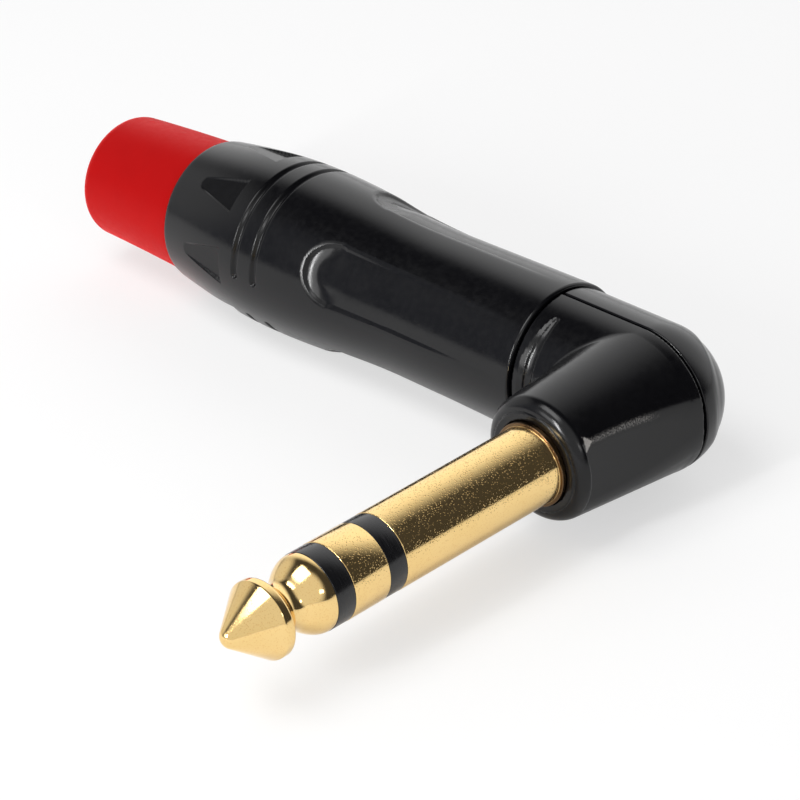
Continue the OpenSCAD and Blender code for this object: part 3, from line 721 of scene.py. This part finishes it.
def plug_tip():
    """The tip: a blunt cone, a rim, a waist and a ball, then the rod with its riveted end."""
    rim_x = RIM_R - RIM_ROUND
    drop = RIM_FRONT * TIP_LEN - POINT_R
    lean = math.atan2(rim_x, drop) - math.asin((POINT_R - RIM_ROUND) / math.hypot(rim_x, drop))
    lean = math.degrees(lean)
    waist_x = WAIST_R + WAIST_ROUND
    flank_x = waist_x - WAIST_ROUND * math.cos(math.radians(WAIST_FLANK))
    outline = [(0, FINGER_LEN)]
    outline += arc((0, FINGER_LEN - POINT_R), POINT_R, 87, lean, 14)
    outline += arc((rim_x, on_tip(RIM_FRONT)), RIM_ROUND, lean, 0, 8)
    outline += arc((rim_x, on_tip(RIM_BACK)), RIM_ROUND, 0, -60, 8)
    outline += arc((waist_x, on_tip(WAIST_AT)), WAIST_ROUND, 130, 180 + WAIST_FLANK, 18)
    for i in range(1, 15):
        t = i / 14
        ball_x = flank_x + (FOOT_R - flank_x) * math.sin(t * math.pi / 2)
        outline.append((ball_x, on_tip(BALL_FRONT + (BALL_BACK - BALL_FRONT) * t)))
    outline += [(FOOT_R, TIP_START + 0.03), (FOOT_R - 0.03, TIP_START), (ROD_R, TIP_START)]
    outline += [(ROD_R, -ROD_END + RIVET_LEN), (RIVET_R, -ROD_END + RIVET_LEN)]
    outline += [(RIVET_R - 0.15, -ROD_END), (0, -ROD_END)]
    return lathe("tip_contact", outline, on_finger)


def droop(points):
    """The boot's soft end hangs a little."""
    past = np.clip((-points[:, 0] - BOOT_AT) / (BOOT_END - BOOT_AT), 0, 1)
    lowered = points.copy()
    lowered[:, 2] -= BOOT_DROOP * past ** 2
    return lowered


def boot():
    """The cable boot: a tapered sleeve, with a stem and a bead that hold it in the barrel."""
    outline = rounded([
        (CABLE_R, STEM_AT, 0.1), (STEM_R, STEM_AT, 0.1), (STEM_R, BEAD_AT, 0),
        (BEAD_R, BEAD_AT, 0.08), (BEAD_R, BEAD_AT + BEAD_LEN, 0.08), (STEM_R, BEAD_AT + BEAD_LEN, 0),
        (STEM_R, BOOT_AT, 0),
    ], 4)
    outline += arc((BOOT_FRONT_R - BOOT_EDGE, BOOT_AT + BOOT_EDGE), BOOT_EDGE, -90, -5, 5)
    taper_at = BOOT_AT + BOOT_EDGE + 0.03
    taper_len = BOOT_END - BOOT_AT - BOOT_ROUND - 0.2
    for t in np.linspace(0, 1, 24):
        outline.append((BOOT_FRONT_R + (BOOT_BACK_R - BOOT_FRONT_R) * t, taper_at + taper_len * t))
    outline += arc((BOOT_BACK_R - BOOT_ROUND, BOOT_END - BOOT_ROUND), BOOT_ROUND, 8, 80, 12)
    outline += [(CABLE_R + 0.35, BOOT_END), (CABLE_R + 0.1, BOOT_END - 0.08), (CABLE_R, BOOT_END - 0.3)]
    outline += [(CABLE_R, at) for at in np.linspace(BOOT_END - 1, BOOT_AT, 12)]
    return lathe("cable_boot", outline, on_body, 200, droop)


# ---------- materials ----------

class Nodes:
    """Adds nodes to one tree. Texture scales are in millimetres."""

    def __init__(self, tree):
        self.tree = tree

    def add(self, kind, inputs=(), **settings):
        node = self.tree.nodes.new(kind)
        for name, value in settings.items():
            setattr(node, name, value)
        for key, value in dict(inputs).items():
            self.put(node.inputs[key], value)
        return node

    def put(self, socket, value):
        if isinstance(value, bpy.types.NodeSocket):
            self.tree.links.new(value, socket)
        else:
            socket.default_value = value

    def place(self, stretch=(1, 1, 1)):
        """Object coordinates in millimetres, stretched along an axis."""
        coords = self.add("ShaderNodeTexCoord").outputs["Object"]
        scale = [f / MM for f in stretch]
        return self.add("ShaderNodeVectorMath", {0: coords, 1: scale}, operation="MULTIPLY").outputs[0]

    def noise(self, size, stretch=(1, 1, 1), detail=3.0):
        inputs = {"Vector": self.place(stretch), "Scale": 1 / size, "Detail": detail}
        return self.add("ShaderNodeTexNoise", inputs).outputs["Fac"]

    def cells(self, size):
        inputs = {"Vector": self.place(), "Scale": 1 / size}
        return self.add("ShaderNodeTexVoronoi", inputs).outputs["Distance"]

    def remap(self, value, low, high, to_low=0.0, to_high=1.0):
        """A smooth step from one value at low to another at high."""
        inputs = {0: value, 1: low, 2: high, 3: to_low, 4: to_high}
        return self.add("ShaderNodeMapRange", inputs, interpolation_type="SMOOTHSTEP").outputs[0]

    def maths(self, operation, a, b):
        return self.add("ShaderNodeMath", {0: a, 1: b}, operation=operation).outputs[0]

    def mix(self, factor, a, b):
        node = self.add("ShaderNodeMix", data_type="RGBA")
        self.put(node.inputs[0], factor)
        self.put(node.inputs[6], a)
        self.put(node.inputs[7], b)
        return node.outputs[2]

    def bump(self, height, distance, normal=None):
        """Relief of some depth in millimetres, on top of another's if one is given."""
        inputs = {"Height": height, "Distance": distance * MM, "Strength": 1.0}
        node = self.add("ShaderNodeBump", inputs)
        if normal is not None:
            self.put(node.inputs["Normal"], normal)
        return node.outputs[0]


def colour(r, g, b):
    """An opaque linear colour."""
    return (r, g, b, 1.0)


def material(name, metallic=0.0, ior=1.5):
    """A material, its node helper and its shader, with the constants on the shader."""
    made = bpy.data.materials.new(name)
    made.use_nodes = True
    nodes = Nodes(made.node_tree)
    shader = made.node_tree.nodes["Principled BSDF"]
    shader.inputs["Metallic"].default_value = metallic
    shader.inputs["IOR"].default_value = ior
    return made, nodes, shader


def finish_shader(nodes, shader, base, roughness, normal):
    """Links the parts of a finish that vary over the surface."""
    nodes.put(shader.inputs["Base Color"], base)
    nodes.put(shader.inputs["Roughness"], roughness)
    nodes.put(shader.inputs["Normal"], normal)


def black_metal():
    """Satin black plating with a fine grain, and a painted highlight in a bare-metal colour where the
    mesh asks for one.
    """
    made, nodes, shader = material("black_metal", ior=1.4)
    cloud = nodes.noise(2.0)
    grain = nodes.noise(0.08, detail=3)
    base = nodes.mix(cloud, colour(0.001, 0.001, 0.0015), colour(0.003, 0.003, 0.0038))
    # The painted highlight turns the black to a pale grey: it is uneven, and its faint parts break up
    # into specks
    painted_glint_mask = nodes.add("ShaderNodeAttribute", attribute_name="painted_glint").outputs["Fac"]
    broken = nodes.remap(nodes.noise(0.12, detail=2), 0.35, 0.65, 0.5, 1.2)
    painted_glint_mask = nodes.remap(nodes.maths("MULTIPLY", painted_glint_mask, broken), 0.1, 1.0)
    base = nodes.mix(painted_glint_mask, base, colour(0.31, 0.295, 0.28))
    roughness = nodes.remap(nodes.noise(0.5), 0.3, 0.7, 0.15, 0.22)
    normal = nodes.bump(grain, 0.0014)
    normal = nodes.bump(nodes.noise(0.9, detail=2), 0.002, normal)
    finish_shader(nodes, shader, base, roughness, normal)
    return made


def gold_plate(name, pit_depth, painted_shade_from):
    """Polished gold plate: turning lines, tiny pits of some depth, and painted shade, a dark brown,
    past some y.
    """
    made, nodes, shader = material(name, metallic=1.0)
    base = nodes.mix(nodes.noise(2.5), colour(0.87, 0.61, 0.25), colour(0.91, 0.66, 0.30))
    roughness = nodes.remap(nodes.noise(0.5), 0.3, 0.7, 0.07, 0.13)
    pits = nodes.remap(nodes.cells(0.15), 0.4, 0.08)
    pits = nodes.maths("MULTIPLY", pits, nodes.remap(nodes.noise(0.4, detail=1), 0.3, 0.5))
    base = nodes.mix(nodes.maths("MULTIPLY", pits, 0.6), base, colour(0.74, 0.40, 0.12))
    # Painted shade: past some y the gold turns dark brown; on the sleeve that is its shoulder ring in
    # the nose's hole
    axes = nodes.add("ShaderNodeSeparateXYZ", {0: nodes.place()})
    painted_shade = nodes.remap(axes.outputs["Y"], painted_shade_from - 0.06, painted_shade_from)
    base = nodes.mix(painted_shade, base, colour(0.15, 0.09, 0.045))
    rings = nodes.noise(0.05, (0.05, 1, 0.05), 2)
    normal = nodes.bump(pits, -pit_depth)
    normal = nodes.bump(rings, 0.0006, normal)
    normal = nodes.bump(nodes.noise(0.9, detail=2), 0.003, normal)
    finish_shader(nodes, shader, base, roughness, normal)
    return made


def black_band():
    """Glossy turned plastic with fine lines round it."""
    made, nodes, shader = material("black_band")
    lines = nodes.noise(0.06, (0.04, 1, 0.04), 3)
    base = nodes.mix(lines, colour(0.002, 0.002, 0.0025), colour(0.008, 0.008, 0.009))
    roughness = nodes.remap(lines, 0.3, 0.7, 0.12, 0.28)
    finish_shader(nodes, shader, base, roughness, nodes.bump(lines, 0.004))
    return made


def red_rubber():
    """Moulded red rubber with a soft satin skin and a fine bloom."""
    made, nodes, shader = material("red_rubber")
    shader.inputs["Specular IOR Level"].default_value = 0.06
    shader.inputs["Sheen Weight"].default_value = 0.8
    shader.inputs["Sheen Roughness"].default_value = 0.6
    shader.inputs["Sheen Tint"].default_value = colour(1.0, 0.02, 0.02)
    cloud = nodes.noise(1.6)
    base = nodes.mix(cloud, colour(0.285, 0.0006, 0.001), colour(0.325, 0.0012, 0.0015))
    roughness = nodes.remap(nodes.noise(0.5), 0.3, 0.7, 0.34, 0.44)
    normal = nodes.bump(nodes.noise(0.09, detail=2), 0.004)
    normal = nodes.bump(nodes.noise(1.2, detail=2), 0.012, normal)
    finish_shader(nodes, shader, base, roughness, normal)
    return made


def white_nylon():
    """Moulded nylon, a little translucent."""
    made, nodes, shader = material("white_nylon")
    shader.inputs["Subsurface Weight"].default_value = 0.1
    shader.inputs["Subsurface Scale"].default_value = 1.0 * MM
    base = nodes.mix(nodes.noise(1.5), colour(0.74, 0.72, 0.66), colour(0.82, 0.81, 0.77))
    roughness = nodes.remap(nodes.noise(0.4), 0.3, 0.7, 0.38, 0.5)
    finish_shader(nodes, shader, base, roughness, nodes.bump(nodes.noise(0.12), 0.006))
    return made


def lining_film():
    """Dark insulating film with a woven grain."""
    made, nodes, shader = material("lining_film")
    weave = nodes.noise(0.3, (1, 0.2, 1))
    base = nodes.mix(weave, colour(0.05, 0.06, 0.05), colour(0.11, 0.13, 0.11))
    roughness = nodes.remap(weave, 0.3, 0.7, 0.5, 0.7)
    finish_shader(nodes, shader, base, roughness, nodes.bump(weave, 0.01))
    return made


def fibre():
    """Pressed brown fibre."""
    made, nodes, shader = material("fibre")
    strands = nodes.noise(0.2, (1, 0.3, 1), 4)
    base = nodes.mix(strands, colour(0.42, 0.30, 0.18), colour(0.62, 0.50, 0.34))
    roughness = nodes.remap(strands, 0.3, 0.7, 0.6, 0.8)
    finish_shader(nodes, shader, base, roughness, nodes.bump(strands, 0.02))
    return made


def bare_metal(name, dark, light, rough, lines):
    """Turned or rolled metal: a mottled tone, and lines stretched by the factors given."""
    made, nodes, shader = material(name, metallic=1.0)
    streaks = nodes.noise(0.08, lines, 3)
    base = nodes.mix(nodes.noise(0.8), dark, light)
    roughness = nodes.remap(streaks, 0.3, 0.7, rough, rough + 0.12)
    finish_shader(nodes, shader, base, roughness, nodes.bump(streaks, 0.004))
    return made


def make_materials():
    """Every finish by name. The slots' own finishes have the names of the slots."""
    turned = (0.05, 1, 0.05)
    rolled = (1, 0.1, 1)
    tin = (colour(0.6, 0.59, 0.56), colour(0.75, 0.74, 0.71))
    brass = (colour(0.66, 0.47, 0.2), colour(0.76, 0.58, 0.3))
    steel = (colour(0.5, 0.5, 0.52), colour(0.64, 0.64, 0.65))
    return {
        "black_metal": black_metal(),
        "gold_plate": gold_plate("gold_plate", 0.0015, SHANK_LEN),
        # The sleeve's gold gets painted shade from its shoulder back
        "pitted_gold": gold_plate("pitted_gold", 0.009, 0.0),
        "black_band": black_band(),
        "red_boot": red_rubber(),
        "white_nylon": white_nylon(),
        "lining_film": lining_film(),
        "fibre": fibre(),
        "tinned_brass": bare_metal("tinned_brass", *tin, 0.18, rolled),
        "plain_brass": bare_metal("plain_brass", *brass, 0.2, turned),
        "steel": bare_metal("steel", *steel, 0.22, turned),
    }


# ---------- light, floor and camera ----------

def place_at(azimuth, rise):
    """Direction at some degrees round from +X and up from the floor."""
    turn = math.radians(azimuth)
    lift = math.radians(rise)
    return Vector((math.cos(lift) * math.cos(turn), math.cos(lift) * math.sin(turn), math.sin(lift)))


def area_light(name, direction, distance, size, radiance):
    """A soft box that looks at the part. Its power follows from the wanted brightness."""
    direction = Vector(direction).normalized()
    data = bpy.data.lights.new(name, "AREA")
    data.shape = "RECTANGLE"
    data.size, data.size_y = size
    data.energy = radiance * math.pi * size[0] * size[1]
    light = bpy.data.objects.new(name, data)
    light.location = Vector(LAMP_AIM) * MM + direction * distance
    light.rotation_euler = direction.to_track_quat("Z", "Y").to_euler()
    bpy.context.scene.collection.objects.link(light)


def patch(nodes, direction, inner, outer):
    """1 within inner degrees of a direction of the sky, and 0 past outer degrees."""
    sky = nodes.add("ShaderNodeTexCoord").outputs["Generated"]
    unit = nodes.add("ShaderNodeVectorMath", {0: sky}, operation="NORMALIZE").outputs[0]
    inputs = {0: unit, 1: tuple(Vector(direction).normalized())}
    dot = nodes.add("ShaderNodeVectorMath", inputs, operation="DOT_PRODUCT").outputs["Value"]
    return nodes.remap(dot, math.cos(math.radians(outer)), math.cos(math.radians(inner)))


def make_world():
    """A dark tent with bright patches: two on the finger's side, one at the boot's end, one behind."""
    world = bpy.data.worlds.new("studio")
    bpy.context.scene.world = world
    world.use_nodes = True
    tree = world.node_tree
    nodes = Nodes(tree)
    tone = colour(0.06, 0.06, 0.065)
    tone = nodes.mix(patch(nodes, (-0.5, -0.85, 0.1), 30, 52), tone, colour(0.30, 0.31, 0.35))
    tone = nodes.mix(patch(nodes, (-1.0, -0.2, 0.3), 12, 34), tone, colour(0.8, 0.8, 0.8))
    tone = nodes.mix(patch(nodes, (0.35, -0.8, 0.45), 38, 62), tone, colour(0.85, 0.85, 0.85))
    tone = nodes.mix(patch(nodes, (-0.34, 0.94, 0.15), 36, 64), tone, colour(1.3, 1.3, 1.3))
    # Past the floor's edge the camera sees plain white
    camera = nodes.add("ShaderNodeLightPath").outputs["Is Camera Ray"]
    tone = nodes.mix(camera, tone, colour(1, 1, 1))
    nodes.put(tree.nodes["Background"].inputs["Color"], tone)
    tree.nodes["Background"].inputs["Strength"].default_value = 1.0


def make_lights():
    """Soft boxes in metres. The glint is a narrow bright one, for the highlights on the black."""
    area_light("key", (-0.10, -0.40, 0.90), distance=0.35, size=(0.22, 0.16), radiance=4.3)
    area_light("front", (-0.20, -0.92, 0.36), distance=0.40, size=(0.20, 0.13), radiance=2.5)
    area_light("glint", (-0.02, -0.92, 0.39), distance=0.40, size=(0.03, 0.14), radiance=44.0)
    area_light("side", (0.80, -0.28, 0.36), distance=0.40, size=(0.08, 0.05), radiance=5.0)


def make_floor():
    """A plain pale floor. The camera sees it a little lighter, and it keeps its shadows."""
    half = FLOOR_HALF * MM
    level = FLOOR_Z * MM
    mesh = bpy.data.meshes.new("floor")
    plan = ((-half, -half), (half, -half), (half, half), (-half, half))
    mesh.from_pydata([(x, y, level) for x, y in plan], [], [(0, 1, 2, 3)])
    floor = bpy.data.objects.new("floor", mesh)
    bpy.context.scene.collection.objects.link(floor)
    made = bpy.data.materials.new("floor_paper")
    made.use_nodes = True
    nodes = Nodes(made.node_tree)
    shader = made.node_tree.nodes["Principled BSDF"]
    shader.inputs["Specular IOR Level"].default_value = 0.0
    paper = nodes.mix(nodes.noise(40.0), colour(0.93, 0.93, 0.93), colour(0.95, 0.95, 0.95))
    nodes.put(shader.inputs["Base Color"], paper)
    shader.inputs["Roughness"].default_value = 0.9
    # The camera sees a whiter floor than glossy surfaces do, and both see its shadows
    rays = nodes.add("ShaderNodeLightPath").outputs
    glossy = nodes.maths("MAXIMUM", rays["Is Glossy Ray"], rays["Is Transmission Ray"])
    seen = nodes.maths("MULTIPLY", rays["Is Camera Ray"], FLOOR_SEEN)
    seen = nodes.maths("MAXIMUM", seen, nodes.maths("MULTIPLY", glossy, FLOOR_MIRRORED))
    white = nodes.add("ShaderNodeEmission", {"Color": colour(1, 1, 1), "Strength": 1.0})
    blend = nodes.add("ShaderNodeMixShader", {0: seen})
    nodes.put(blend.inputs[1], shader.outputs[0])
    nodes.put(blend.inputs[2], white.outputs[0])
    nodes.put(made.node_tree.nodes["Material Output"].inputs["Surface"], blend.outputs[0])
    mesh.materials.append(made)


def make_camera():
    """The photograph's camera: it looks along its turn and rise, rolled about its own axis."""
    back = place_at(CAMERA_TURN, CAMERA_RISE)
    level_right = Vector((0, 0, 1)).cross(back).normalized()
    level_up = back.cross(level_right)
    roll = math.radians(CAMERA_ROLL)
    right = level_right * math.cos(roll) + level_up * math.sin(roll)
    up = back.cross(right)
    data = bpy.data.cameras.new("camera")
    data.lens = CAMERA_LENS
    data.sensor_width = CAMERA_SENSOR
    camera = bpy.data.objects.new("camera", data)
    place = Matrix.Translation((Vector(CAMERA_AIM) + back * CAMERA_DISTANCE) * MM)
    camera.matrix_world = place @ Matrix((right, up, back)).transposed().to_4x4()
    bpy.context.scene.collection.objects.link(camera)
    bpy.context.scene.camera = camera


# ---------- assembly ----------

def fit(piece, node, slot, materials, body, finish=None):
    """Puts a piece in a CAD node's place, in the slot's own finish unless another is named."""
    piece.data.materials.clear()
    piece.data.materials.append(materials[finish or slot])
    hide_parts(node)
    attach(piece, body)


def dress_cad(materials):
    """Gives every CAD node the material of its slot."""
    slots = {part["node"]: part["material_slot"] for part in frame["record"]["subparts"]}
    for name, node in frame["nodes"].items():
        node.data.materials.clear()
        node.data.materials.append(materials[slots[name]])


def make_finger(materials):
    """The finger's contacts and bands, from the shoulder to the point."""
    fit(plug_sleeve(), "plug_sleeve", "gold_plate", materials, "elbow", "pitted_gold")
    band = flanged_tube("rear_band", BAND_R, SLEEVE_END, RING_START, BAND_TUBE, SHANK_LEN)
    fit(band, "ring_insulator", "black_band", materials, "elbow")
    contact = flanged_tube("ring_contact", FINGER_R, RING_START, RING_END, RING_TUBE, TUBE_END)
    fit(contact, "plug_ring", "gold_plate", materials, "elbow", "pitted_gold")
    band = flanged_tube("front_band", BAND_R, RING_END, TIP_START, TIP_TUBE, TUBE_END)
    fit(band, "tip_insulator", "black_band", materials, "elbow")
    fit(plug_tip(), "plug_tip", "gold_plate", materials, "elbow")


def main():
    bpy.context.scene.view_settings.view_transform = "Standard"
    make_camera()
    make_world()
    make_lights()
    make_floor()
    materials = make_materials()
    dress_cad(materials)
    # The elbow's points carry the painted highlight at the thumb panel's front corner and edge
    elbow = carve("elbow_body", elbow_field, ELBOW_GRID, elbow_painted_glint)
    fit(elbow, "elbow_shell", "black_metal", materials, "elbow")
    cover = carve("elbow_back", cover_field, COVER_GRID)
    fit(cover, "elbow_cover", "black_metal", materials, "cover")
    fit(barrel(), "barrel", "black_metal", materials, "barrel")
    make_finger(materials)
    fit(boot(), "boot", "red_boot", materials, "gland")


main()
